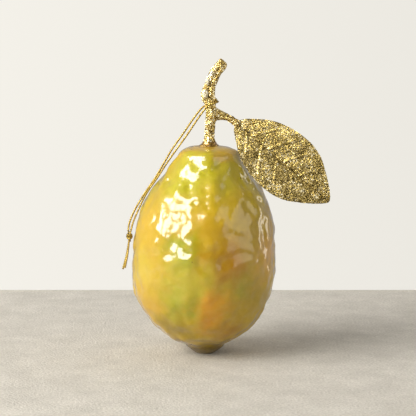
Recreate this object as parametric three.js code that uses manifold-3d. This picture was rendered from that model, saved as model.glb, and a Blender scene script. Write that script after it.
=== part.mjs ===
// A hanging glass lemon: a hollow blown-glass fruit on a small flat foot, with a glittered twig and
// leaf held in its neck by a stopper, and a loop of gold cord knotted round the twig.
// Millimetres, +Z up. The origin is the centre of the flat foot. The leaf points to +X.
import * as THREE from "three";
import { mergeVertices } from "three/addons/utils/BufferGeometryUtils.js";
import Module from "manifold-3d";

const wasm = await Module();
wasm.setup();

// Driving dimensions.
const bodyRadius = 32.4; // the fruit's widest radius
const bodyHeight = 95; // foot to crown
const glassWall = 1.3;
const footRadius = 4.2; // the flat spot that it stands on
const gap = 0.3; // clearance between pieces that touch
const twigBaseX = 2; // the twig stands a little off the fruit's axis
const twigRadius = 2.3;
const wireRadius = 0.6; // iron wire up the middle of the twig
const stalkRadius = 1.35;
const leafHalfWidth = 14.5;
const leafThickness = 0.7;
const cordRadius = 0.45;

// Sides round each turned or swept piece.
const bodySides = 36;
const twigSides = 12;
const cordSides = 8;

// The fruit's outline, foot to crown, as shares of its radius and height.
const bodyOutline = [
  [footRadius / bodyRadius, 0],
  [0.247, 0.028],
  [0.318, 0.05], // the root of the nipple
  [0.432, 0.07],
  [0.602, 0.108],
  [0.801, 0.186],
  [0.952, 0.293],
  [1, 0.45],
  [0.95, 0.63],
  [0.815, 0.764],
  [0.61, 0.859],
  [0.458, 0.939], // the neck
  [0.403, 0.97], // the shoulder
  [0.306, 0.988],
  [0.138, 0.998],
  [0, 1],
].map(([r, z]) => new THREE.Vector2(r * bodyRadius, z * bodyHeight));

// The fruit isn't quite straight: how far it leans towards the leaf at each height.
const bodyLean = new THREE.SplineCurve(
  [
    [0, 0],
    [0, 4],
    [-0.9, 24],
    [-0.2, 47],
    [0.9, 79],
    [1.9, 95],
  ].map(([x, z]) => new THREE.Vector2(x, z)),
);

// Places that several pieces share, on the twig's curve from the crown to its cut end.
const crownZ = bodyHeight;
const twigCurve = new THREE.CatmullRomCurve3([
  new THREE.Vector3(twigBaseX, 0, crownZ + gap),
  new THREE.Vector3(2.3, 0, 102),
  new THREE.Vector3(2.6, 0, 110),
  new THREE.Vector3(2.3, 0, 113.8),
  new THREE.Vector3(1.4, 0, 118), // the old leaf scar, where the twig swells
  new THREE.Vector3(2.9, 0.1, 123.5),
  new THREE.Vector3(5.4, 0.3, 128.4),
  new THREE.Vector3(8.6, 0.5, 132.2),
]);
// The leaf's stalk meets the twig's side stub here, and carries the blade along its midrib.
const stubEnd = new THREE.Vector3(10.4, -0.6, 107.6);
const leafBase = new THREE.Vector3(14.3, -1.6, 105.2);
const leafMiddle = new THREE.Vector3(35.2, -8.2, 88);
const leafTip = new THREE.Vector3(55.4, -9.6, 70.8);

// A closed three.js mesh as a solid for joining and cutting.
function solid(geometry) {
  const bare = geometry.clone();
  bare.deleteAttribute("normal");
  bare.deleteAttribute("uv");
  const merged = mergeVertices(bare, 1e-4);
  return new wasm.Manifold(
    new wasm.Mesh({
      numProp: 3,
      vertProperties: merged.attributes.position.array,
      triVerts: new Uint32Array(merged.index.array),
    }),
  );
}

// Moves a shape of the fruit sideways by the fruit's lean.
function leaned(geometry) {
  const line = bodyLean.getPoints(80);
  const place = geometry.attributes.position;
  for (let i = 0; i < place.count; i++) {
    const z = THREE.MathUtils.clamp(place.getZ(i), 0, bodyHeight);
    const next = Math.max(1, line.findIndex((p) => p.y >= z));
    const [a, b] = [line[next - 1], line[next]];
    const share = b.y > a.y ? (z - a.y) / (b.y - a.y) : 0;
    place.setX(i, place.getX(i) + THREE.MathUtils.lerp(a.x, b.x, share));
  }
  return geometry;
}

function geometryOf(made) {
  const mesh = made.getMesh();
  const geometry = new THREE.BufferGeometry();
  geometry.setAttribute("position", new THREE.BufferAttribute(mesh.vertProperties, 3));
  geometry.setIndex(new THREE.BufferAttribute(mesh.triVerts, 1));
  geometry.computeVertexNormals();
  return geometry;
}

// How each stuff looks.
const finishes = {
  glass: { color: 0xc9b045, roughness: 0.08, metalness: 0 },
  cork: { color: 0xb08d5a, roughness: 0.85, metalness: 0 },
  glue: { color: 0xb8862f, roughness: 0.35, metalness: 0.3 },
  iron: { color: 0x6d6a64, roughness: 0.45, metalness: 0.9 },
  twigGlitter: { color: 0xa88a3a, roughness: 0.4, metalness: 0.8 },
  leafGlitter: { color: 0x9a8138, roughness: 0.4, metalness: 0.8 },
  goldThread: { color: 0xc79a2e, roughness: 0.35, metalness: 0.9 },
};

function part(name, geometry, finish) {
  const material = new THREE.MeshStandardMaterial(finishes[finish]);
  const made = new THREE.Mesh(geometry, material);
  made.name = name;
  return made;
}

// A profile of [radius, height] points turned about the Z axis.
function turned(profile, sides = bodySides) {
  return new THREE.LatheGeometry(profile, sides).rotateX(Math.PI / 2);
}

function upright(radius, low, high, x = 0, sides = 16) {
  const made = new THREE.CylinderGeometry(radius, radius, high - low, sides);
  return made.rotateX(Math.PI / 2).translate(x, 0, (low + high) / 2);
}

// A round rod along a curve, the same radius all the way.
function tube(curve, radius, steps, sides = cordSides) {
  const section = new THREE.Shape().absarc(0, 0, radius, 0, 2 * Math.PI);
  return new THREE.ExtrudeGeometry(section, {
    steps,
    curveSegments: sides / 2,
    extrudePath: curve,
    bevelEnabled: false,
  });
}

// A round rod along a curve, with a radius that changes along it.
function taperedRod(curve, radiusAt, steps, sides = twigSides) {
  const rod = new THREE.CylinderGeometry(1, 1, 1, sides, steps);
  const frames = curve.computeFrenetFrames(steps);
  const place = rod.attributes.position;
  for (let i = 0; i < place.count; i++) {
    const share = 0.5 - place.getY(i);
    const ring = Math.round(share * steps);
    const radius = radiusAt(share);
    const centre = curve.getPointAt(share);
    centre.addScaledVector(frames.normals[ring], place.getX(i) * radius);
    centre.addScaledVector(frames.binormals[ring], place.getZ(i) * radius);
    place.setXYZ(i, centre.x, centre.y, centre.z);
  }
  return rod;
}

function smoothStep(from, to, value) {
  return THREE.MathUtils.smoothstep(value, from, to);
}

// The blown shell: the outline turned, hollowed by an inner outline one wall thickness smaller, and
// opened at the crown by the neck hole.
const neckHoleRadius = 3.9;
const outlineSteps = 26;
const hollowSteps = 15;
const hollowScale = (bodyRadius - glassWall) / bodyRadius;

function glassBody() {
  const curve = new THREE.SplineCurve(bodyOutline);
  const outside = [new THREE.Vector2(0, 0), ...curve.getPoints(outlineSteps)];
  outside.at(-1).x = 0;
  const inside = curve.getPoints(hollowSteps).map((p) => new THREE.Vector2(p.x * hollowScale, p.y));
  const hollowHeight = (bodyHeight - 2 * glassWall) / bodyHeight;
  inside.forEach((p) => (p.y = glassWall + p.y * hollowHeight));
  inside[0].x *= 0.8; // a little narrower at the foot, where the wall is thicker
  inside.at(-1).x = 0;
  inside.unshift(new THREE.Vector2(0, glassWall));
  const shell = solid(leaned(turned(outside))).subtract(solid(leaned(turned(inside))));
  const hole = solid(upright(neckHoleRadius, crownZ - 8, crownZ + 4, twigBaseX, 20));
  return part("glass_body", geometryOf(shell.subtract(hole)), "glass");
}

// The stopper fills the neck hole and grips the twig's wire.
const stopperLength = 7.5;

function neckStopper() {
  const plug = solid(upright(neckHoleRadius - gap, crownZ - stopperLength, crownZ, twigBaseX, 20));
  const bore = solid(upright(wireRadius + gap, crownZ - stopperLength - 1, crownZ + 1, twigBaseX, 12));
  return part("neck_stopper", geometryOf(plug.subtract(bore)), "cork");
}

// A bead of gold glue round the foot of the twig.
const collarFootRadius = 4.7;
const collarHeight = 1.6;
const twigFootRadius = 2.75;

function glueCollar() {
  const low = crownZ + gap;
  const inner = twigFootRadius + gap;
  const profile = [
    new THREE.Vector2(inner, low),
    new THREE.Vector2(collarFootRadius, low),
    new THREE.Vector2(4.2, low + 0.35),
    new THREE.Vector2(3.6, low + 0.8),
    new THREE.Vector2(inner + 0.25, low + collarHeight),
    new THREE.Vector2(inner, low + collarHeight),
    new THREE.Vector2(inner, low),
  ];
  const bead = turned(profile, 24).translate(twigBaseX, 0, 0);
  return part("glue_collar", bead, "glue");
}

// The wire runs from inside the glass, through the stopper, up the twig to just short of its end.
const wireTail = 9; // how far it reaches below the crown
const wireShare = 0.8; // how far up the twig it goes
const wireCurve = new THREE.CatmullRomCurve3([
  new THREE.Vector3(twigBaseX, 0, crownZ - wireTail),
  new THREE.Vector3(twigBaseX, 0, crownZ - wireTail / 2),
  new THREE.Vector3(twigBaseX, 0, crownZ),
  ...[0.2, 0.35, 0.5, 0.65, wireShare].map((share) => twigCurve.getPointAt(share)),
]);
const wireSteps = 18;

function stemWire() {
  return part("stem_wire", tube(wireCurve, wireRadius, wireSteps), "iron");
}

// The twig: a foot that flares, a swelling at the old leaf scar, and a side stub for the leaf.
const leafWireRadius = 0.4;
const leafWireCurve = new THREE.CatmullRomCurve3([
  new THREE.Vector3(6.2, -0.2, 108.6),
  new THREE.Vector3(8.6, -0.4, 108.2),
  stubEnd,
  leafBase.clone().lerp(stubEnd, 0.35),
]);
const leafWireSteps = 8;

const scarHeight = 0.65; // how far the swelling stands out
const scarShare = 0.56; // where it is, from the twig's foot to its end
const endChamfer = 0.55;
const topThickening = 0.15;

function twigRadiusAt(share) {
  const foot = (twigFootRadius - twigRadius) * (1 - smoothStep(0, 0.08, share));
  const swelling = scarHeight * Math.exp(-(((share - scarShare) / 0.07) ** 2));
  const tip = endChamfer * smoothStep(0.94, 1, share);
  return twigRadius + foot + swelling + topThickening * smoothStep(0.3, 0.8, share) - tip;
}

const stubRootRadius = 3;
const stubTaper = 1.35;

function stemTwig() {
  const rod = solid(taperedRod(twigCurve, twigRadiusAt, 22));
  const stubCurve = new THREE.CatmullRomCurve3([
    new THREE.Vector3(2.4, 0, 109.2),
    new THREE.Vector3(5.5, -0.1, 108.8),
    new THREE.Vector3(8.2, -0.35, 108.3),
    stubEnd,
  ]);
  const stubRadiusAt = (share) => stubRootRadius - stubTaper * smoothStep(0.15, 0.95, share);
  const stub = solid(taperedRod(stubCurve, stubRadiusAt, 8));
  const wireBore = solid(tube(wireCurve, wireRadius + gap, wireSteps));
  const leafBore = solid(tube(leafWireCurve, leafWireRadius + gap, leafWireSteps));
  const twig = rod.add(stub).subtract(wireBore).subtract(leafBore);
  return part("stem_twig", geometryOf(twig), "twigGlitter");
}

function leafWire() {
  const curve = new THREE.CatmullRomCurve3(leafWireCurve.points.slice());
  const kept = [0.08, 0.35, 0.65, 0.92].map((share) => curve.getPointAt(share));
  const wire = tube(new THREE.CatmullRomCurve3(kept), leafWireRadius, leafWireSteps);
  return part("leaf_wire", wire, "iron");
}

// The stalk joins the stub to the blade, and the leaf's wire ends inside it.
function leafStalk() {
  const along = leafBase.clone().sub(stubEnd).normalize();
  const curve = new THREE.CatmullRomCurve3([
    stubEnd.clone().addScaledVector(along, gap),
    stubEnd.clone().lerp(leafBase, 0.5),
    leafBase.clone().addScaledVector(along, -gap),
  ]);
  const rod = solid(taperedRod(curve, (share) => stalkRadius + 0.2 * share, 5));
  const bore = solid(tube(leafWireCurve, leafWireRadius + gap, leafWireSteps));
  return part("leaf_stalk", geometryOf(rod.subtract(bore)), "twigGlitter");
}

// The blade: a sheet that follows its midrib, folded a little along it, with pressed side veins and
// a thicker rib on its back.
const leafSteps = 32;
const leafCrossSteps = 10;
const foldSlope = 0.16; // how far each half leans towards the front
const veinHeight = 0.22;
const veinCount = 7;
const veinSweep = 0.42; // how far a vein runs towards the tip on its way to the edge
const ribHeight = 0.7;
const leafHalfOutline = new THREE.SplineCurve(
  [
    [0, 0.1],
    [0.08, 0.38],
    [0.2, 0.73],
    [0.36, 0.94],
    [0.54, 1],
    [0.69, 0.88],
    [0.82, 0.6],
    [0.92, 0.35],
    [0.975, 0.17],
    [1, 0.06],
  ].map(([share, width]) => new THREE.Vector2(share, width * leafHalfWidth)),
);

function leafHalfWidthAt(share) {
  const points = leafHalfOutline.getPoints(200);
  const next = points.findIndex((p) => p.x >= share);
  if (next <= 0) return points[0].y;
  const [a, b] = [points[next - 1], points[next]];
  return THREE.MathUtils.lerp(a.y, b.y, (share - a.x) / (b.x - a.x));
}

function leafBlade() {
  const midrib = new THREE.QuadraticBezierCurve3(
    leafBase,
    leafMiddle.clone().multiplyScalar(2).addScaledVector(leafBase, -0.5).addScaledVector(leafTip, -0.5),
    leafTip,
  );
  const blade = new THREE.BoxGeometry(1, 1, 1, leafSteps, leafCrossSteps, 1);
  const place = blade.attributes.position;
  const front = new THREE.Vector3(0.06, -1, 0.1).normalize();
  for (let i = 0; i < place.count; i++) {
    const share = place.getX(i) + 0.5;
    const across = 2 * place.getY(i);
    const onBack = place.getZ(i) < 0;
    const tangent = midrib.getTangentAt(share);
    const side = new THREE.Vector3().crossVectors(front, tangent).normalize();
    const facing = new THREE.Vector3().crossVectors(tangent, side).normalize();
    const reach = across * leafHalfWidthAt(share);
    const fromRib = Math.abs(across);
    const phase = (share - veinSweep * fromRib * 0.35) * veinCount;
    const veins = veinHeight * Math.cos(2 * Math.PI * phase) * smoothStep(0, 0.25, fromRib);
    const rib = onBack ? ribHeight * Math.exp(-((reach / 1.1) ** 2)) * (1 - share) : 0;
    const sheet = onBack ? -leafThickness / 2 - rib : leafThickness / 2;
    const lift = foldSlope * Math.abs(reach) + veins + sheet;
    const at = midrib.getPointAt(share).addScaledVector(side, reach).addScaledVector(facing, lift);
    place.setXYZ(i, at.x, at.y, at.z);
  }
  return part("leaf_blade", blade, "leafGlitter");
}

// The cord: it goes round the twig above the stub, and both strands hang down the side away from the
// leaf to a knot that leaves two cut tails. Each strand is a solid, and they meet beside the twig.
const wrapRadius = 3.45; // from the twig's middle to the cord's
const wrapCentre = new THREE.Vector3(2.45, 0, 113.6);
const wrapRise = 1.1; // the turn is this much higher on the leaf's side
const wrapAngles = [5, 35, 68, 100]; // from the leaf's side towards the front or the back
const knotCentre = new THREE.Vector3(-34.2, 0, 53.4);
const knotRadius = 1.55;
const knotHalfHeight = 1.9;
const cordSteps = 40;
const tailSteps = 6;
const tailSpread = 0.65; // each tail leaves the knot this far to its own side
const strands = {
  cord_front: [
    [-0.3, -3.1, 111.2],
    [-3.6, -2.8, 106.6],
    [-8.1, -2.2, 99.8],
    [-12.7, -1.7, 93.4],
    [-17.2, -1.3, 87],
    [-21.6, -1.1, 80.2],
    [-26.4, -1, 73.2],
    [-30, -0.9, 66],
    [-32.5, -0.8, 60],
    [-33.6, -0.7, 55.9],
  ],
  cord_back: [
    [-1.3, 3, 111.6],
    [-5.3, 2.6, 106.6],
    [-10, 2, 99.8],
    [-14.6, 1.5, 93.4],
    [-18.4, 1.1, 87],
    [-22.4, 0.8, 80.2],
    [-27.2, 0.7, 73.2],
    [-31.5, 0.7, 66],
    [-34.1, 0.6, 60],
    [-34.8, 0.5, 55.9],
  ],
};
const tailEnds = {
  cord_tail_front: [-36.3, -0.8, 39.2],
  cord_tail_back: [-37.3, 0.5, 38.4],
};

function cordStrand(name) {
  const side = name === "cord_front" ? -1 : 1;
  const turn = wrapAngles.map((degrees) => {
    const angle = THREE.MathUtils.degToRad(degrees);
    const x = wrapCentre.x + wrapRadius * Math.cos(angle);
    const z = wrapCentre.z + wrapRise * Math.cos(angle);
    return new THREE.Vector3(x, side * wrapRadius * Math.sin(angle), z);
  });
  const hanging = strands[name].map((p) => new THREE.Vector3(...p));
  const route = new THREE.CatmullRomCurve3([...turn, ...hanging]);
  return part(name, tube(route, cordRadius, cordSteps), "goldThread");
}

function cordKnot() {
  const knot = new THREE.SphereGeometry(1, 12, 8).rotateX(Math.PI / 2);
  knot.scale(knotRadius, knotRadius, knotHalfHeight).translate(...knotCentre.toArray());
  return part("cord_knot", knot, "goldThread");
}

function cordTail(name) {
  const [x, y, z] = tailEnds[name];
  const sideways = Math.sign(y) * tailSpread;
  const low = knotCentre.z - knotHalfHeight - gap / 2;
  const top = new THREE.Vector3(knotCentre.x - 0.2, sideways, low);
  const middle = new THREE.Vector3((top.x + x) / 2 + 0.25, sideways, (top.z + z) / 2);
  const route = new THREE.CatmullRomCurve3([top, middle, new THREE.Vector3(x, y, z)]);
  return part(name, tube(route, cordRadius, tailSteps), "goldThread");
}

const lemon = new THREE.Group();
lemon.add(
  glassBody(),
  neckStopper(),
  glueCollar(),
  stemWire(),
  stemTwig(),
  leafWire(),
  leafStalk(),
  leafBlade(),
  ...Object.keys(strands).map(cordStrand),
  cordKnot(),
  ...Object.keys(tailEnds).map(cordTail),
);

export default lemon;
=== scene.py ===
"""A blown-glass lemon with a glittered twig and leaf, and a gold cord to hang it by."""

import math
import random

import bmesh
import bpy
import numpy as np
from mathutils import Matrix, Vector, noise
from mathutils.kdtree import KDTree


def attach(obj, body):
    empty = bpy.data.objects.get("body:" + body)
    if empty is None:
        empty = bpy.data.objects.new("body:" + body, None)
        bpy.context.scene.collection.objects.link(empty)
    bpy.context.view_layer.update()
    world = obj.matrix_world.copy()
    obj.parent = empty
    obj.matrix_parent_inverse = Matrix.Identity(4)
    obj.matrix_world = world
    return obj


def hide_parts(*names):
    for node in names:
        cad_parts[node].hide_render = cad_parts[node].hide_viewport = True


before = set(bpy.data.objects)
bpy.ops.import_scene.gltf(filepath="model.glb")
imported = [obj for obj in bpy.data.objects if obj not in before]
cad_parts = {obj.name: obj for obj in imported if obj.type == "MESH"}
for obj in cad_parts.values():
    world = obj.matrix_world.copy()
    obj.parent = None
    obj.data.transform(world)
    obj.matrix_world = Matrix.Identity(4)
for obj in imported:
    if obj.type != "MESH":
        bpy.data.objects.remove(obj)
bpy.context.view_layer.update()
MM = 0.001


# ---------------------------------------------------------------- camera

VIEW_TARGET = Vector((1.4, 0, 66.5)) * MM
VIEW_DISTANCE = 836 * MM
VIEW_ELEVATION = math.radians(8)
VIEW_LENS = 160


def make_camera():
    data = bpy.data.cameras.new("camera")
    data.lens = VIEW_LENS
    data.sensor_width = 36
    camera = bpy.data.objects.new("camera", data)
    back = Vector((0, -math.cos(VIEW_ELEVATION), math.sin(VIEW_ELEVATION)))
    camera.location = VIEW_TARGET + back * VIEW_DISTANCE
    camera.rotation_euler = (-back).to_track_quat("-Z", "Y").to_euler()
    bpy.context.collection.objects.link(camera)
    bpy.context.scene.camera = camera


make_camera()


# ---------------------------------------------------------------- shared mesh tools


def spline(points, step):
    """Points about a step apart along the smooth curve through the given ones."""
    given = np.array(points, float)
    padded = np.vstack([2 * given[0] - given[1], given, 2 * given[-1] - given[-2]])
    found = []
    for a, b, c, d in zip(padded, padded[1:], padded[2:], padded[3:]):
        for t in np.arange(24) / 24:
            found.append(
                0.5 * (2 * b + (c - a) * t + (2 * a - 5 * b + 4 * c - d) * t**2 + (3 * b - a - 3 * c + d) * t**3)
            )
    found = np.array(found + [given[-1]])
    reach = np.concatenate([[0], np.cumsum(np.linalg.norm(np.diff(found, axis=0), axis=1))])
    even = np.linspace(0, reach[-1], max(2, round(reach[-1] / step) + 1))
    return np.column_stack([np.interp(even, reach, axis) for axis in found.T])


def length_of(path):
    return float(np.linalg.norm(np.diff(path, axis=0), axis=1).sum())


def mesh_piece(name, mesh, material, smooth=True):
    """A finished mesh as an object at the origin that rides on the row's only body."""
    mesh.name = name
    mesh.materials.clear()
    mesh.materials.append(material)
    mesh.polygons.foreach_set("use_smooth", [smooth] * len(mesh.polygons))
    piece = bpy.data.objects.new(name, mesh)
    bpy.context.collection.objects.link(piece)
    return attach(piece, "root")


def mesh_from(bm):
    bmesh.ops.recalc_face_normals(bm, faces=bm.faces)
    mesh = bpy.data.meshes.new("made")
    bm.to_mesh(mesh)
    bm.free()
    return mesh


def swept(path, radius_at=None, section=None, turns=0.0, round_steps=8):
    """A closed tube along a path. A section is a closed outline in metres that may twist as it goes."""
    data = bpy.data.curves.new("sweep", "CURVE")
    data.dimensions = "3D"
    data.use_fill_caps = True
    data.twist_mode = "MINIMUM"
    run = data.splines.new("POLY")
    run.points.add(len(path) - 1)
    for i, point in enumerate(path):
        share = i / (len(path) - 1)
        run.points[i].co = (*point, 1)
        run.points[i].radius = radius_at(share) if radius_at else 1
        run.points[i].tilt = 2 * math.pi * turns * share
    outline = None
    if section is None:
        data.bevel_depth = 1
        data.bevel_resolution = round_steps
    else:
        shape = bpy.data.curves.new("section", "CURVE")
        edge = shape.splines.new("POLY")
        edge.points.add(len(section) - 1)
        for i, (x, y) in enumerate(section):
            edge.points[i].co = (x, y, 0, 1)
        edge.use_cyclic_u = True
        outline = bpy.data.objects.new("section", shape)
        bpy.context.collection.objects.link(outline)
        data.bevel_mode = "OBJECT"
        data.bevel_object = outline
    sweep = bpy.data.objects.new("sweep", data)
    bpy.context.collection.objects.link(sweep)
    ready = sweep.evaluated_get(bpy.context.evaluated_depsgraph_get())
    mesh = bpy.data.meshes.new_from_object(ready)
    bpy.data.objects.remove(sweep)
    if outline:
        bpy.data.objects.remove(outline)
    bm = bmesh.new()
    bm.from_mesh(mesh)
    bmesh.ops.remove_doubles(bm, verts=bm.verts, dist=1e-7)
    return mesh_from(bm)


def joined(meshes):
    bm = bmesh.new()
    for mesh in meshes:
        bm.from_mesh(mesh)
    made = bpy.data.meshes.new("joined")
    bm.to_mesh(made)
    bm.free()
    return made


def remeshed(mesh, size, smoothing=2):
    """The same outer shape as one skin of even faces."""
    holder = bpy.data.objects.new("holder", mesh)
    bpy.context.collection.objects.link(holder)
    skin = holder.modifiers.new("skin", "REMESH")
    skin.mode = "VOXEL"
    skin.voxel_size = size
    skin.adaptivity = 0
    calm = holder.modifiers.new("calm", "SMOOTH")
    calm.factor = 0.5
    calm.iterations = smoothing
    made = bpy.data.meshes.new_from_object(holder.evaluated_get(bpy.context.evaluated_depsgraph_get()))
    bpy.data.objects.remove(holder)
    return made


def smoothstep(low, high, value):
    t = min(1.0, max(0.0, (value - low) / (high - low)))
    return t * t * (3 - 2 * t)


def bump(value, middle, width):
    return math.exp(-(((value - middle) / width) ** 2))


# ---------------------------------------------------------------- shared material tools


class Finish:
    """A node material that is built one node at a time."""

    def __init__(self, name):
        self.material = bpy.data.materials.new(name)
        self.material.use_nodes = True
        self.tree = self.material.node_tree
        self.shader = self.tree.nodes["Principled BSDF"]
        self.here = self.add("ShaderNodeTexCoord").outputs["Object"]

    def add(self, kind, links=None, **settings):
        """A node whose named inputs are linked to sockets or set to plain values."""
        made = self.tree.nodes.new(kind)
        for key, value in settings.items():
            setattr(made, key, value)
        for key, value in (links or {}).items():
            self.put(made.inputs[key], value)
        return made

    def put(self, socket, value):
        if isinstance(value, bpy.types.NodeSocket):
            self.tree.links.new(value, socket)
        else:
            socket.default_value = value

    def shade(self, **values):
        for key, value in values.items():
            self.put(self.shader.inputs[key.replace("_", " ")], value)

    def noise(self, scale, detail=2, stretch=None, roughness=0.5):
        """Noise whose scale is in lumps per metre."""
        place = self.here
        if stretch:
            place = self.add("ShaderNodeMapping", {0: self.here, "Scale": stretch}).outputs[0]
        links = {"Vector": place, "Scale": scale, "Detail": detail, "Roughness": roughness}
        return self.add("ShaderNodeTexNoise", links)

    def cells(self, size):
        """Random cells about that many metres across."""
        return self.add("ShaderNodeTexVoronoi", {"Vector": self.here, "Scale": 1 / size})

    def sum(self, operation, first, second):
        return self.add("ShaderNodeMath", {0: first, 1: second}, operation=operation).outputs[0]

    def span(self, value, low, high, to_low=0.0, to_high=1.0, kind="LINEAR"):
        links = {"Value": value, "From Min": low, "From Max": high, "To Min": to_low, "To Max": to_high}
        return self.add("ShaderNodeMapRange", links, interpolation_type=kind).outputs[0]

    def blend(self, share, first, second):
        """The second colour over the first, by its share."""
        made = self.add("ShaderNodeMix", data_type="RGBA")
        self.put(made.inputs[0], share)
        self.put(made.inputs[6], first)
        self.put(made.inputs[7], second)
        return made.outputs[2]

    def ramp(self, value, stops, interpolation="LINEAR"):
        made = self.add("ShaderNodeValToRGB", {0: value})
        made.color_ramp.interpolation = interpolation
        while len(made.color_ramp.elements) < len(stops):
            made.color_ramp.elements.new(1)
        for stop, (at, colour) in zip(made.color_ramp.elements, stops):
            stop.position = at
            stop.color = colour
        return made.outputs[0]

    def relief(self, height, depth, under=None):
        """Bump of a depth in metres."""
        links = {"Height": height, "Distance": depth, "Strength": 1.0}
        made = self.add("ShaderNodeBump", links)
        if under is not None:
            self.put(made.inputs["Normal"], under)
        return made.outputs[0]


def tone(red, green, blue):
    """A colour as it shows on a screen, from 0 to 255, as the linear one that a shader takes."""
    shares = [c / 255 for c in (red, green, blue)]
    return (*[c / 12.92 if c <= 0.04045 else ((c + 0.055) / 1.055) ** 2.4 for c in shares], 1.0)


# ---------------------------------------------------------------- finishes


def on_fruit(azimuth, height, radius):
    """A place on the fruit, with the azimuth from the front towards the leaf's side."""
    angle = math.radians(azimuth)
    return (radius * MM * math.sin(angle), -radius * MM * math.cos(angle), height * MM)


# Soft washes of colour: azimuth, height, radius of the fruit there, size of the wash, colour, strength.
WASHES = [
    # front, crown to tip
    (-25, 84, 19, 22, (184, 184, 24), 0.9),
    (0, 82, 19, 16, (192, 184, 30), 0.8),
    (40, 86, 16, 18, (182, 170, 34), 0.9),
    (66, 76, 24, 16, (196, 180, 26), 0.85),
    (0, 68, 28, 20, (206, 178, 28), 0.8),
    (4, 60, 30, 17, (208, 166, 32), 0.8),
    (20, 47, 32, 17, (178, 126, 0), 0.95),
    (-62, 60, 30, 22, (206, 170, 46), 0.8),
    (-20, 51, 32, 15, (152, 164, 18), 0.85),
    (-14, 38, 31, 17, (186, 176, 40), 0.85),
    (-24, 27, 29, 15, (156, 160, 30), 0.85),
    (6, 25, 28, 15, (214, 148, 14), 0.9),
    (46, 30, 30, 18, (170, 144, 4), 0.85),
    (30, 36, 31, 10, (150, 152, 34), 0.6),
    # Pale orange wash at the right rim: the orange is the paint's own, its paleness is painted reflection.
    (66, 48, 32, 18, (222, 168, 70), 0.9),
    (-64, 26, 28, 17, (200, 158, 48), 0.85),
    (-62, 42, 31, 15, (200, 178, 60), 0.8),
    (-34, 14, 23, 14, (140, 118, 16), 0.85),
    (30, 14, 22, 14, (164, 118, 0), 0.85),
    # the far side
    (100, 62, 30, 22, (190, 150, 34), 0.85),
    (122, 34, 31, 20, (160, 150, 30), 0.85),
    (150, 74, 26, 22, (162, 158, 24), 0.85),
    (175, 48, 32, 22, (184, 140, 18), 0.85),
    (165, 22, 27, 17, (188, 138, 30), 0.85),
    (-95, 74, 26, 20, (172, 164, 30), 0.85),
    (-118, 44, 32, 22, (190, 154, 34), 0.85),
    (-142, 68, 28, 20, (150, 144, 22), 0.85),
    (-150, 30, 30, 19, (180, 136, 26), 0.85),
    (-105, 18, 25, 16, (160, 142, 26), 0.85),
]
FRUIT_YELLOW = tone(190, 160, 26)
FRUIT_CROWN = tone(200, 162, 52)
FRUIT_TIP = tone(92, 70, 2)
FRUIT_SPECK = tone(80, 50, 10)


def painted_glass():
    """Soft washes of paint under a clear, hard lacquer; the pale wash at the right rim is partly painted
    reflection.
    """
    f = Finish("painted_glass")
    drift = f.noise(95, detail=3)
    centred = {0: drift.outputs["Color"], 1: (0.5, 0.5, 0.5)}
    shift = f.add("ShaderNodeVectorMath", centred, operation="SUBTRACT")
    scaled = f.add("ShaderNodeVectorMath", {0: shift.outputs[0], "Scale": 0.022}, operation="SCALE")
    place = f.add("ShaderNodeVectorMath", {0: f.here, 1: scaled.outputs[0]}, operation="ADD").outputs[0]
    colour = FRUIT_YELLOW
    for azimuth, height, radius, size, paint, strength in WASHES:
        spot = on_fruit(azimuth, height, radius)
        far = f.add("ShaderNodeVectorMath", {0: place, 1: spot}, operation="DISTANCE").outputs["Value"]
        share = f.span(far, size * MM, 0, 0, strength, "SMOOTHSTEP")
        colour = f.blend(share, colour, tone(*paint))
    height = f.add("ShaderNodeSeparateXYZ", {0: place}).outputs["Z"]
    colour = f.blend(f.span(height, 90 * MM, 95.5 * MM, 0, 0.85, "SMOOTHSTEP"), colour, FRUIT_CROWN)
    colour = f.blend(f.span(height, 8 * MM, 1 * MM, 0, 0.9, "SMOOTHSTEP"), colour, FRUIT_TIP)
    cloud = f.noise(420, detail=4).outputs[0]
    colour = f.blend(f.span(cloud, 0.4, 0.75, 0, 0.14), colour, tone(222, 194, 96))
    cell = f.cells(5.5 * MM)
    chance = f.add("ShaderNodeSeparateColor", {0: cell.outputs["Color"]}).outputs[0]
    rare = f.sum("GREATER_THAN", chance, 0.84)
    speck = f.sum("MULTIPLY", rare, f.span(cell.outputs["Distance"], 0.11, 0.06))
    colour = f.blend(f.sum("MULTIPLY", speck, 0.8), colour, FRUIT_SPECK)
    peel = f.relief(f.noise(900, detail=2).outputs[0], 0.05 * MM)
    f.shade(
        Base_Color=colour,
        Roughness=f.span(f.noise(240, detail=3).outputs[0], 0.3, 0.7, 0.28, 0.42),
        IOR=1.5,
        Coat_Weight=1.0,
        Coat_Roughness=0.02,
        Coat_IOR=1.5,
        Specular_IOR_Level=0.18,
        Coat_Tint=(1.0, 0.97, 0.93, 1.0),
        Normal=peel,
        Coat_Normal=peel,
    )
    return f.material


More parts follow.
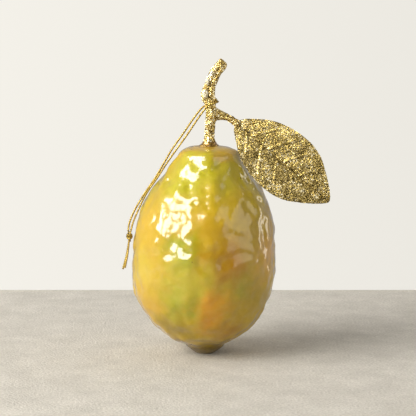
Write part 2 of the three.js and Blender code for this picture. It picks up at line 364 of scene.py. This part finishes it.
def glitter(name, stops, flake, tilt, roughness=(0.16, 0.45)):
    """Metal flakes set every way in a clear binder. Each flake has a tone, a slant and a polish; the palest tone
    is a painted glint.
    """
    f = Finish(name)
    cell = f.cells(flake)
    parts = f.add("ShaderNodeSeparateColor", {0: cell.outputs["Color"]})
    drift = f.span(f.noise(190, detail=4).outputs[0], 0.35, 0.65, -0.16, 0.16)
    # Each flake's colour from the stops; the palest stop paints glints into it.
    flake_tones_and_glints = f.ramp(f.sum("ADD", parts.outputs[0], drift), stops, "CONSTANT")
    centred = {0: cell.outputs["Color"], 1: (0.5, 0.5, 0.5)}
    slant = f.add("ShaderNodeVectorMath", centred, operation="SUBTRACT")
    slant = f.add("ShaderNodeVectorMath", {0: slant.outputs[0], "Scale": tilt}, operation="SCALE")
    facing = f.add("ShaderNodeNewGeometry").outputs["Normal"]
    turned = f.add("ShaderNodeVectorMath", {0: facing, 1: slant.outputs[0]}, operation="ADD")
    normal = f.add("ShaderNodeVectorMath", {0: turned.outputs[0]}, operation="NORMALIZE").outputs[0]
    f.shade(
        Base_Color=flake_tones_and_glints,
        Metallic=0.85,
        Roughness=f.span(parts.outputs[1], 0, 1, *roughness),
        Normal=normal,
    )
    return f.material


def gold_thread():
    f = Finish("gold_thread")
    fibre = f.noise(2600, detail=3)
    golds = [(0.3, tone(104, 82, 24)), (0.55, tone(158, 132, 54)), (0.75, tone(220, 198, 124))]
    f.shade(
        Base_Color=f.ramp(fibre.outputs[0], golds),
        Metallic=0.85,
        Roughness=f.span(fibre.outputs[0], 0.3, 0.7, 0.42, 0.22),
        Normal=f.relief(f.noise(5200, detail=2).outputs[0], 0.06 * MM),
    )
    return f.material


def tinted_glue():
    f = Finish("tinted_glue")
    cloud = f.noise(900, detail=3).outputs[0]
    ambers = [(0.35, tone(110, 76, 24)), (0.55, tone(160, 124, 52)), (0.7, tone(204, 172, 96))]
    f.shade(
        Base_Color=f.ramp(cloud, ambers),
        Metallic=0.6,
        Roughness=f.span(cloud, 0.3, 0.7, 0.18, 0.4),
        Coat_Weight=0.6,
        Coat_Roughness=0.08,
        Normal=f.relief(f.noise(1500, detail=3).outputs[0], 0.12 * MM),
    )
    return f.material


def glue_with_painted_highlight():
    """Glue with a wet shine, its pale cream colour a painted highlight."""
    f = Finish("glue_with_painted_highlight")
    cloud = f.noise(1400, detail=2).outputs[0]
    f.shade(
        # Pale cream base colour: a painted highlight.
        Base_Color=f.ramp(cloud, [(0.35, tone(196, 176, 118)), (0.65, tone(244, 238, 214))]),
        Roughness=0.2,
        Coat_Weight=1.0,
        Coat_Roughness=0.04,
    )
    return f.material


def drawn_iron():
    f = Finish("drawn_iron")
    streak = f.noise(1200, detail=3, stretch=(3, 3, 0.4)).outputs[0]
    f.shade(
        Base_Color=f.ramp(streak, [(0.3, tone(92, 88, 82)), (0.7, tone(150, 146, 140))]),
        Metallic=0.9,
        Roughness=f.span(streak, 0.3, 0.7, 0.3, 0.5),
    )
    return f.material


def pressed_cork():
    f = Finish("pressed_cork")
    grain = f.cells(0.9 * MM)
    dark = f.span(grain.outputs["Distance"], 0.1, 0.6)
    f.shade(
        Base_Color=f.blend(dark, tone(196, 152, 104), tone(120, 82, 48)),
        Roughness=0.85,
        Normal=f.relief(grain.outputs["Distance"], 0.15 * MM),
    )
    return f.material


LEAF_TONES_AND_GLINTS = [
    (0.0, tone(66, 54, 24)),
    (0.19, tone(124, 106, 52)),
    (0.44, tone(168, 148, 84)),
    (0.7, tone(204, 184, 122)),
    # Near-white flakes: a painted glint that stands in for sparkle.
    (0.9, tone(252, 242, 206)),
]
TWIG_TONES_AND_GLINTS = [
    (0.0, tone(80, 60, 20)),
    (0.18, tone(140, 116, 54)),
    (0.44, tone(184, 160, 92)),
    (0.72, tone(218, 198, 140)),
    # Near-white flakes: a painted glint that stands in for sparkle.
    (0.92, tone(250, 244, 216)),
]

FINISHES = {
    "glass": painted_glass(),
    "twig": glitter("twig_glitter", TWIG_TONES_AND_GLINTS, 0.42 * MM, 0.6, (0.16, 0.4)),
    "leaf": glitter("leaf_glitter", LEAF_TONES_AND_GLINTS, 0.37 * MM, 0.95, (0.14, 0.42)),
    "thread": gold_thread(),
    "glue": tinted_glue(),
    "drop": glue_with_painted_highlight(),
    "iron": drawn_iron(),
    "cork": pressed_cork(),
}


# ---------------------------------------------------------------- cord

CORD_DIAMETER = 0.9 * MM
WRAP_RADIUS = 3.45
WRAP_CENTRE = (2.45, 0, 113.6)
WRAP_RISE = 1.1
WRAP_ANGLES = (5, 35, 68, 100)
STRANDS = {
    "cord_front": [
        (-0.3, -3.1, 111.2),
        (-3.6, -2.8, 106.6),
        (-8.1, -2.2, 99.8),
        (-12.7, -1.7, 93.4),
        (-17.2, -1.3, 87),
        (-21.6, -1.1, 80.2),
        (-26.4, -1, 73.2),
        (-30, -0.9, 66),
        (-32.5, -0.8, 60),
        (-33.6, -0.7, 55.9),
    ],
    "cord_back": [
        (-1.3, 3, 111.6),
        (-5.3, 2.6, 106.6),
        (-10, 2, 99.8),
        (-14.6, 1.5, 93.4),
        (-18.4, 1.1, 87),
        (-22.4, 0.8, 80.2),
        (-27.2, 0.7, 73.2),
        (-31.5, 0.7, 66),
        (-34.1, 0.6, 60),
        (-34.8, 0.5, 55.9),
    ],
}
KNOT_CENTRE = (-34.2, 0, 53.4)
KNOT_HALF_HEIGHT = 1.9
TAIL_ENDS = {"cord_tail_front": (-36.3, -0.8, 39.2), "cord_tail_back": (-37.3, 0.5, 38.4)}
# One strand's way through the overhand knot, from the top; the other goes opposite it.
KNOT_ROUTE = [
    (0.35, -0.2, 2.3),
    (0.55, -0.55, 1.3),
    (0.95, -0.75, 0.3),
    (0.75, 0.1, -0.7),
    (-0.2, 0.85, -0.8),
    (-1.1, 0.3, -0.1),
    (-0.8, -0.75, 0.7),
    (0.2, -1.05, 0.75),
    (0.95, -0.1, 0.95),
    (0.3, 0.5, 0.3),
    (-0.1, 0.1, -1.0),
    (-0.25, -0.3, -2.2),
]
PLY_PITCH = 2.1 * MM
CORD_STEP = 0.16 * MM


def ply_section(diameter, plies=2, sides=24):
    """The outline of plies twisted together: full at each ply and pinched between them."""
    made = []
    for i in range(sides):
        angle = 2 * math.pi * i / sides
        radius = diameter / 2 * (0.68 + 0.32 * abs(math.cos(plies * angle / 2)) ** 0.8)
        made.append((radius * math.cos(angle), radius * math.sin(angle)))
    return made


def thread(path):
    return swept(path, section=ply_section(CORD_DIAMETER), turns=length_of(path) / PLY_PITCH)


def cord_route(name):
    side = -1 if name == "cord_front" else 1
    x, y, z = WRAP_CENTRE
    turn = []
    for degrees in WRAP_ANGLES:
        angle = math.radians(degrees)
        across = WRAP_RADIUS * math.cos(angle)
        turn.append((x + across, y + side * WRAP_RADIUS * math.sin(angle), z + WRAP_RISE * math.cos(angle)))
    return spline(np.array(turn + STRANDS[name]) * MM, CORD_STEP)


def make_cord():
    thread_finish = FINISHES["thread"]
    ways = []
    for flip in (1, -1):
        turned = np.array(KNOT_ROUTE) * (flip, flip, 1) + KNOT_CENTRE
        ways.append(thread(spline(turned * MM, CORD_STEP)))
    knot = mesh_piece("tied_knot", joined(ways), thread_finish)
    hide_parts("cord_knot")
    for node, (x, y, z) in TAIL_ENDS.items():
        sideways = math.copysign(0.65, y)
        top = (KNOT_CENTRE[0] - 0.2, sideways, KNOT_CENTRE[2] - KNOT_HALF_HEIGHT - 0.15)
        middle = ((top[0] + x) / 2 + 0.25, sideways, (top[2] + z) / 2)
        mesh = thread(spline(np.array([top, middle, (x, y, z)]) * MM, CORD_STEP))
        mesh_piece(node.replace("cord_tail", "cut_tail"), mesh, thread_finish)
        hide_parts(node)
    for node in STRANDS:
        path = cord_route(node)
        strand = mesh_piece(node.replace("cord", "strand"), thread(path), thread_finish)
        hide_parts(node)
        length_of(path)


make_cord()


# ---------------------------------------------------------------- fruit

FRUIT_OUTLINE = [
    (4.2, 0),
    (8, 2.66),
    (10.3, 4.75),
    (14, 6.65),
    (19.5, 10.26),
    (25.95, 17.67),
    (30.85, 27.84),
    (32.4, 42.75),
    (30.8, 59.85),
    (26.4, 72.58),
    (19.75, 81.6),
    (14.85, 89.2),
    (13.05, 92.15),
    (9.9, 93.86),
    (4.5, 94.81),
]
# How far the fruit leans towards the leaf at each height.
FRUIT_LEAN = [(0, 0), (0, 4), (-0.9, 24), (-0.2, 47), (0.9, 79), (1.9, 95)]
NECK_CENTRE = 2.0
NECK_RADIUS = 3.95
FRUIT_RADIUS = 32.4
FRUIT_HEIGHT = 95
WALL = 1.3
FRUIT_ROUND = 250  # faces round the skin
BLISTERS = 290
random.seed(23)


def blisters():
    """Small raised or sunk spots in the blown skin: place, radius and height of each, in millimetres."""
    made = []
    for _ in range(BLISTERS):
        z = random.uniform(9, 88)
        round_radius = np.interp(z, [p[1] for p in FRUIT_OUTLINE], [p[0] for p in FRUIT_OUTLINE])
        angle = random.uniform(0, 2 * math.pi)
        place = Vector((round_radius * math.sin(angle), -round_radius * math.cos(angle), z))
        made.append((place, random.uniform(1.3, 2.3), random.choice((-1, 1)) * random.uniform(0.12, 0.42)))
    return made


def fruit_relief(place, spots, tree):
    """How far the blown skin stands out of its turned shape at a place, in millimetres."""
    x, y, z = (c / MM for c in place)
    lumps = 0.55 * noise.noise(Vector((x, y, z * 0.8)) / 11)
    dimples = 0.58 * noise.noise(Vector((x, y, z * 1.05)) / 5.3 + Vector((7, 3, 1)))
    pores = 0.05 * noise.noise(Vector((x, y, z * 0.8)) / 2.1 + Vector((2, 9, 4)))
    angle = math.atan2(x, -y)
    flutes = 0.22 * math.cos(9 * angle + 2.2 * noise.noise(place / (18 * MM))) * bump(z, 86, 12)
    near = 0
    for middle, index, far in tree.find_range(Vector((x, y, z)), 5.5):
        near += spots[index][2] * bump(far, 0, spots[index][1])
    calm = smoothstep(0.4, 5, z) * (1 - 0.7 * smoothstep(92, 94.5, z))
    return calm * (lumps + dimples + pores + flutes + near)


def make_fruit():
    outer = spline([(r * MM, 0, z * MM) for r, z in FRUIT_OUTLINE], 0.75 * MM)
    outer = [Vector((0, 0, 0)), Vector((2.2 * MM, 0, 0))] + [Vector(p) for p in outer]
    inner = spline([(r * MM, 0, z * MM) for r, z in FRUIT_OUTLINE], 3.2 * MM)
    shrink = (FRUIT_RADIUS - WALL) / FRUIT_RADIUS
    middle = FRUIT_HEIGHT / 2 * MM
    squash = 1 - 2 * WALL / FRUIT_HEIGHT
    inner = [Vector((p[0] * shrink, 0, middle + (p[2] - middle) * squash)) for p in inner]
    inner = [Vector((0, 0, WALL * MM))] + inner
    bm = bmesh.new()
    marked = bm.verts.layers.int.new("outer")
    rim = [Vector((NECK_RADIUS * MM, 0, 94.85 * MM)), Vector((NECK_RADIUS * MM, 0, 93.6 * MM))]
    chain = [bm.verts.new(p) for p in [*outer, *rim, *reversed(inner)]]
    edges = [bm.edges.new(pair) for pair in zip(chain, chain[1:])]
    outer_count = len(outer)
    for i, vert in enumerate(chain):
        vert[marked] = int(i < outer_count)
    bmesh.ops.spin(
        bm,
        geom=chain + edges,
        cent=(0, 0, 0),
        axis=(0, 0, 1),
        angle=2 * math.pi,
        steps=FRUIT_ROUND,
        use_merge=True,
        use_duplicate=False,
    )
    bmesh.ops.remove_doubles(bm, verts=bm.verts, dist=1e-6)
    bmesh.ops.recalc_face_normals(bm, faces=bm.faces)
    bm.normal_update()
    spots = blisters()
    tree = KDTree(len(spots))
    for i, (middle, _, _) in enumerate(spots):
        tree.insert(middle, i)
    tree.balance()
    moves = {v: v.normal * (fruit_relief(v.co, spots, tree) * MM) for v in bm.verts if v[marked]}
    for vert, move in moves.items():
        vert.co += move
    lean = spline([(x, z, 0) for x, z in FRUIT_LEAN], 0.5)
    for vert in bm.verts:
        vert.co.x += float(np.interp(vert.co.z / MM, lean[:, 1], lean[:, 0])) * MM
    fruit = mesh_piece("blown_fruit", mesh_from(bm), FINISHES["glass"])
    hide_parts("glass_body")


# ---------------------------------------------------------------- twig and leaf

TWIG_LINE = [
    (2, 0, 95.4),
    (2.1, 0, 98),
    (2.3, 0, 102),
    (2.6, 0, 110),
    (2.3, 0, 113.8),
    (1.4, 0, 118),
    (2.9, 0.1, 123.5),
    (5.4, 0.3, 128.4),
    (8.9, 0.55, 132.6),
]
STUB_END = (10.4, -0.6, 107.6)
STUB_LINE = [(2.4, 0, 109.2), (5.5, -0.1, 108.8), (8.2, -0.35, 108.3), STUB_END]
BUD_LINE = [(3.2, -0.6, 114.2), (4.2, -1.0, 115.0), (4.9, -1.2, 116.0)]
LEAF_BASE = (14.3, -1.6, 105.2)
LEAF_MIDDLE = (35.2, -8.2, 88)
LEAF_TIP = (55.4, -9.6, 70.8)
TWIG_GRAIN = 0.08
TWIG_GROOVE = 1.2
random.seed(7)


def twig_radius(share):
    """The twig's radius in metres, from its foot to its cut end."""
    flare = 0.6 * (1 - smoothstep(0, 0.09, share))
    scar = 0.75 * bump(share, 0.57, 0.07)
    return (2.25 + flare + scar + 0.25 * smoothstep(0.3, 0.75, share)) * MM


def grained(mesh, line, depth, groove=0.0):
    """Roughens a rod's skin: long ridges along its line, a coat of loose grains, and a front groove."""
    tree = KDTree(len(line))
    for i, point in enumerate(line):
        tree.insert(point, i)
    tree.balance()
    bm = bmesh.new()
    bm.from_mesh(mesh)
    bm.normal_update()
    for vert in bm.verts:
        middle, index, _ = tree.find(vert.co)
        share = index / (len(line) - 1)
        out = (vert.co - middle).normalized()
        angle = math.atan2(out.x, -out.y)
        from_end = smoothstep(0.97, 0.84, share)
        ridges = 0.16 * from_end * math.cos(5 * angle + 3 * noise.noise(Vector((share * 4, 0, 0))))
        pits = 0.22 * noise.noise(vert.co / (1.1 * MM))
        crease = groove * bump(angle, 0.05, 0.3) * smoothstep(0.46, 0.56, share) * from_end
        grains = random.uniform(-depth, depth)
        vert.co += vert.normal * (ridges + pits - crease + grains) * MM
    return mesh_from(bm)


# Drops of glue that stand out of the glitter, up the side away from the leaf: place and half sizes.
GLUE_DROPS = [
    ((0.2, -2.5, 118.3), (1.35, 0.9, 2.1)),
    ((1.3, -2.15, 123.6), (0.75, 0.7, 1.6)),
    ((3.3, -2.0, 127.8), (0.65, 0.7, 1.1)),
]


def add_glue_drops(mesh):
    """Sets smooth drops into a piece's skin, in its second finish."""
    bm = bmesh.new()
    bm.from_mesh(mesh)
    for place, half_sizes in GLUE_DROPS:
        shape = Matrix.Translation(Vector(place) * MM) @ Matrix.Diagonal((*half_sizes, 1))
        drop = bmesh.ops.create_icosphere(bm, subdivisions=4, radius=MM, matrix=shape)
        for face in {face for vert in drop["verts"] for face in vert.link_faces}:
            face.material_index = 1
            face.smooth = True
    bm.to_mesh(mesh)
    bm.free()


def make_twig():
    line = spline(np.array(TWIG_LINE) * MM, 0.4 * MM)
    rod = swept(line, radius_at=twig_radius)
    stub_line = spline(np.array(STUB_LINE) * MM, 0.4 * MM)
    stub = swept(stub_line, radius_at=lambda share: (3.1 - 1.6 * smoothstep(0.1, 0.9, share)) * MM)
    bud_line = spline(np.array(BUD_LINE) * MM, 0.3 * MM)
    bud = swept(bud_line, radius_at=lambda share: (1.3 - 0.35 * share) * MM)
    bm = bmesh.new()
    bm.from_mesh(remeshed(joined([rod, stub, bud]), 0.3 * MM, smoothing=4))
    cut = bmesh.ops.bisect_plane(
        bm,
        geom=bm.verts[:] + bm.edges[:] + bm.faces[:],
        plane_co=Vector((8.1, -0.4, 131.6)) * MM,
        plane_no=Vector((0.78, -0.52, 0.36)),
        clear_outer=True,
    )
    rim = [e for e in cut["geom_cut"] if isinstance(e, bmesh.types.BMEdge)]
    bmesh.ops.holes_fill(bm, edges=rim)
    made = bpy.data.meshes.new("cut")
    bm.to_mesh(made)
    bm.free()
    made = remeshed(made, 0.26 * MM, smoothing=1)
    skin = grained(made, [Vector(p) for p in line], TWIG_GRAIN, TWIG_GROOVE)
    twig = mesh_piece("glitter_twig", skin, FINISHES["twig"], False)
    # The drops' second finish is pale cream, a painted highlight.
    twig.data.materials.append(FINISHES["drop"])
    add_glue_drops(twig.data)
    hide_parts("stem_twig")


def make_stalk():
    start, end = Vector(STUB_END), Vector(LEAF_BASE)
    along = (end - start).normalized()
    line = spline(np.array([start + along * 0.1, (start + end) / 2, end + along * 1.2]) * MM, 0.3 * MM)
    rod = swept(line, radius_at=lambda share: (1.4 + 0.25 * share) * MM)
    skin = grained(remeshed(rod, 0.24 * MM), [Vector(p) for p in line], TWIG_GRAIN)
    stalk = mesh_piece("glitter_stalk", skin, FINISHES["twig"], False)
    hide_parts("leaf_stalk")


LEAF_HALF_WIDTH = 14.5
LEAF_OUTLINE = [
    (0, 0.1),
    (0.035, 0.27),
    (0.08, 0.41),
    (0.2, 0.735),
    (0.36, 0.945),
    (0.54, 1),
    (0.69, 0.88),
    (0.82, 0.6),
    (0.92, 0.33),
    (0.975, 0.155),
    (1, 0.04),
]
LEAF_THICKNESS = 0.7
LEAF_FOLD = 0.16
LEAF_GRAIN = 0.09
LEAF_LONG = 170
LEAF_WIDE = 86
VEINS = 6


def leaf_half_width(share):
    """Half the leaf's width in millimetres, from its base to its tip."""
    fine = spline([(s, w, 0) for s, w in LEAF_OUTLINE], 0.01)
    return float(np.interp(share, fine[:, 0], fine[:, 1])) * LEAF_HALF_WIDTH


def vein_relief(share, across):
    """Pressed side veins that sweep from the midrib towards the tip, and the midrib's own groove."""
    side = abs(across)
    phase = (share - 0.17 * side**1.2) * VEINS + (0.35 if across < 0 else 0)
    near = abs(phase - round(phase)) / VEINS
    vein = bump(near, 0, 0.013) * smoothstep(0.98, 0.6, side) * smoothstep(0.02, 0.1, share)
    quilt = 0.18 * math.cos(2 * math.pi * phase) * smoothstep(0, 0.25, side)
    groove = 0.5 * bump(side, 0, 0.045) * smoothstep(1.0, 0.85, share)
    return 0.55 * vein - quilt - groove


def make_leaf():
    bend = [np.array(p, float) for p in (LEAF_BASE, LEAF_MIDDLE, LEAF_TIP)]
    control = 2 * bend[1] - 0.5 * bend[0] - 0.5 * bend[2]
    front = Vector((0.06, -1, 0.1)).normalized()
    bm = bmesh.new()
    bmesh.ops.create_grid(bm, x_segments=LEAF_LONG, y_segments=LEAF_WIDE, size=0.5)
    widths = {}
    for vert in bm.verts:
        share = vert.co.x + 0.5
        across = 2 * vert.co.y
        t = 1 - share
        middle = Vector(t * t * bend[0] + 2 * t * share * control + share * share * bend[2])
        along = Vector(2 * t * (control - bend[0]) + 2 * share * (bend[2] - control)).normalized()
        side = front.cross(along).normalized()
        facing = along.cross(side).normalized()
        key = round(share, 5)
        if key not in widths:
            widths[key] = leaf_half_width(share)
        reach = across * widths[key]
        lift = LEAF_FOLD * abs(reach) + vein_relief(share, across)
        ragged = 0.12 * noise.noise(Vector((share * 60, across, 0))) * smoothstep(0.9, 1, abs(across))
        vert.co = (middle + side * (reach + ragged) + facing * lift) * MM
    bm.normal_update()
    back = bmesh.ops.duplicate(bm, geom=bm.verts[:] + bm.edges[:] + bm.faces[:])["geom"]
    back_verts = [g for g in back if isinstance(g, bmesh.types.BMVert)]
    behind = set(back_verts)
    for vert in bm.verts:
        vert.co += front * (LEAF_THICKNESS / 2 * (-1 if vert in behind else 1)) * MM
    bmesh.ops.bridge_loops(bm, edges=[e for e in bm.edges if e.is_boundary])
    for vert in bm.verts:
        vert.co += Vector([random.uniform(-LEAF_GRAIN, LEAF_GRAIN) for _ in range(3)]) * MM
    leaf = mesh_piece("glitter_leaf", mesh_from(bm), FINISHES["leaf"], False)
    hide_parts("leaf_blade")


def make_collar():
    """A bead of glue with an uneven foot."""
    bm = bmesh.new()
    outline = [(2.7, 95.2), (4.4, 94.9), (4.25, 95.2), (3.7, 95.6), (3.3, 96.1), (2.9, 96.8), (2.7, 96.8)]
    chain = [bm.verts.new(Vector(p)) for p in spline([(r * MM, 0, z * MM) for r, z in outline], 0.3 * MM)]
    edges = [bm.edges.new(pair) for pair in zip(chain, chain[1:] + chain[:1])]
    bmesh.ops.spin(
        bm,
        geom=chain + edges,
        cent=(0, 0, 0),
        axis=(0, 0, 1),
        angle=2 * math.pi,
        steps=72,
        use_merge=True,
        use_duplicate=False,
    )
    bmesh.ops.remove_doubles(bm, verts=bm.verts, dist=1e-7)
    for vert in bm.verts:
        wide = vert.co.xy.length / MM
        lump = 1 + 0.14 * noise.noise(vert.co / (2.3 * MM)) * smoothstep(3, 4.5, wide)
        vert.co.x = vert.co.x * lump + NECK_CENTRE * MM
        vert.co.y *= lump
    collar = mesh_piece("glue_bead", mesh_from(bm), FINISHES["glue"])
    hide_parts("glue_collar")


def finish_hidden_nodes():
    for node, finish in {"stem_wire": "iron", "leaf_wire": "iron", "neck_stopper": "cork"}.items():
        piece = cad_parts[node]
        piece.data.materials.clear()
        piece.data.materials.append(FINISHES[finish])


make_fruit()
make_twig()
make_stalk()
make_leaf()
make_collar()
finish_hidden_nodes()


# ---------------------------------------------------------------- table, backdrop and lights

BACKDROP = tone(240, 237, 229)
BACKDROP_LEFT = 1.04  # its brightness from one side to the other
BACKDROP_RIGHT = 0.96
AMBIENT_FRONT = 0.16
AMBIENT_BACK = 0.66
MIRRORED_AMBIENT = 0.6  # the share of the ambient glow that gloss shows
TABLE_BACK = 155
TABLE_HALF_WIDTH = 600
TABLE_FRONT = 600


def make_table():
    f = Finish("pale_table")
    mottle = f.noise(60, detail=6, roughness=0.65).outputs[0]
    grit = f.noise(900, detail=3).outputs[0]
    colour = f.ramp(mottle, [(0.3, tone(198, 193, 182)), (0.7, tone(222, 217, 206))])
    f.shade(
        Base_Color=f.blend(f.span(grit, 0.35, 0.7, 0.0, 0.5), colour, tone(150, 142, 128)),
        Roughness=0.75,
        Normal=f.relief(grit, 0.3 * MM),
    )
    bm = bmesh.new()
    bmesh.ops.create_cube(bm, size=1)
    depth = TABLE_BACK + TABLE_FRONT
    bmesh.ops.scale(bm, vec=Vector((2 * TABLE_HALF_WIDTH, depth, 20)) * MM, verts=bm.verts)
    bmesh.ops.translate(bm, vec=Vector((0, (TABLE_BACK - TABLE_FRONT) / 2, -10)) * MM, verts=bm.verts)
    mesh = mesh_from(bm)
    mesh.materials.append(f.material)
    table = bpy.data.objects.new("table_top", mesh)
    bpy.context.collection.objects.link(table)


def ranged(tree, value, reach, low, high):
    """A node that goes from low to high as its value goes from minus reach to reach."""
    node = tree.nodes.new("ShaderNodeMapRange")
    for key, level in {"From Min": -reach, "From Max": reach, "To Min": low, "To Max": high}.items():
        node.inputs[key].default_value = level
    tree.links.new(value, node.inputs["Value"])
    return node


def make_backdrop():
    """A pale backdrop for the camera, and a glow that is dim in front and bright behind for the rest."""
    world = bpy.data.worlds.new("backdrop")
    bpy.context.scene.world = world
    world.use_nodes = True
    tree = world.node_tree
    seen = tree.nodes["Background"]
    seen.inputs["Color"].default_value = BACKDROP
    glow = tree.nodes.new("ShaderNodeBackground")
    glow.inputs["Color"].default_value = (1.0, 0.97, 0.93, 1)
    facing = tree.nodes.new("ShaderNodeSeparateXYZ")
    tree.links.new(tree.nodes.new("ShaderNodeTexCoord").outputs["Generated"], facing.inputs[0])
    across = ranged(tree, facing.outputs["X"], 0.12, BACKDROP_LEFT, BACKDROP_RIGHT)
    tree.links.new(across.outputs[0], seen.inputs["Strength"])
    fade = ranged(tree, facing.outputs["Y"], 0.5, AMBIENT_FRONT, AMBIENT_BACK)
    choice = tree.nodes.new("ShaderNodeMixShader")
    ray = tree.nodes.new("ShaderNodeLightPath")
    dull = tree.nodes.new("ShaderNodeMath")
    dull.operation = "MULTIPLY_ADD"
    dull.inputs[1].default_value = MIRRORED_AMBIENT - 1
    dull.inputs[2].default_value = 1
    tree.links.new(ray.outputs["Is Glossy Ray"], dull.inputs[0])
    strength = tree.nodes.new("ShaderNodeMath")
    strength.operation = "MULTIPLY"
    tree.links.new(dull.outputs[0], strength.inputs[0])
    tree.links.new(fade.outputs[0], strength.inputs[1])
    tree.links.new(strength.outputs[0], glow.inputs["Strength"])
    tree.links.new(ray.outputs["Is Camera Ray"], choice.inputs[0])
    tree.links.new(glow.outputs[0], choice.inputs[1])
    tree.links.new(seen.outputs[0], choice.inputs[2])
    tree.links.new(choice.outputs[0], tree.nodes["World Output"].inputs[0])


def softbox(name, azimuth, elevation, distance, width, height, radiance, colour, mirrored):
    """A lit panel that faces the fruit, with its azimuth from the front towards the leaf's side.

    A mirrored one shows in gloss only, and one that isn't only lights."""
    data = bpy.data.lights.new(name, "AREA")
    data.shape = "RECTANGLE"
    data.size = width
    data.size_y = height
    data.energy = radiance * math.pi * width * height
    data.color = colour
    light = bpy.data.objects.new(name, data)
    a, e = math.radians(azimuth), math.radians(elevation)
    out = Vector((math.sin(a) * math.cos(e), -math.cos(a) * math.cos(e), math.sin(e)))
    light.location = Vector((0, 0, 0.06)) + out * distance
    light.rotation_euler = out.to_track_quat("Z", "Y").to_euler()
    light.visible_glossy = mirrored
    light.visible_diffuse = not mirrored
    bpy.context.collection.objects.link(light)


def make_lights():
    daylight = (1, 0.985, 0.96)
    for column, azimuth in enumerate((-37, -61, -87)):
        for row, elevation in enumerate((17, 44)):
            softbox(f"pane_{column}_{row}", azimuth, elevation, 1.3, 0.38, 0.46, 17, daylight, True)
    softbox("key", -62, 30, 1.3, 1.1, 0.8, 8.6, daylight, False)
    softbox("far_wall", 60, 10, 1.3, 1.2, 1.7, 1.9, (1, 0.96, 0.9), True)
    softbox("far_strip", 112, 12, 1.3, 0.22, 1.7, 4.0, (1, 0.93, 0.82), True)
    softbox("fill", 60, 30, 1.3, 1.5, 1.2, 0.4, (1, 0.97, 0.93), False)


make_table()
make_backdrop()
make_lights()
bpy.context.scene.view_settings.view_transform = "Standard"
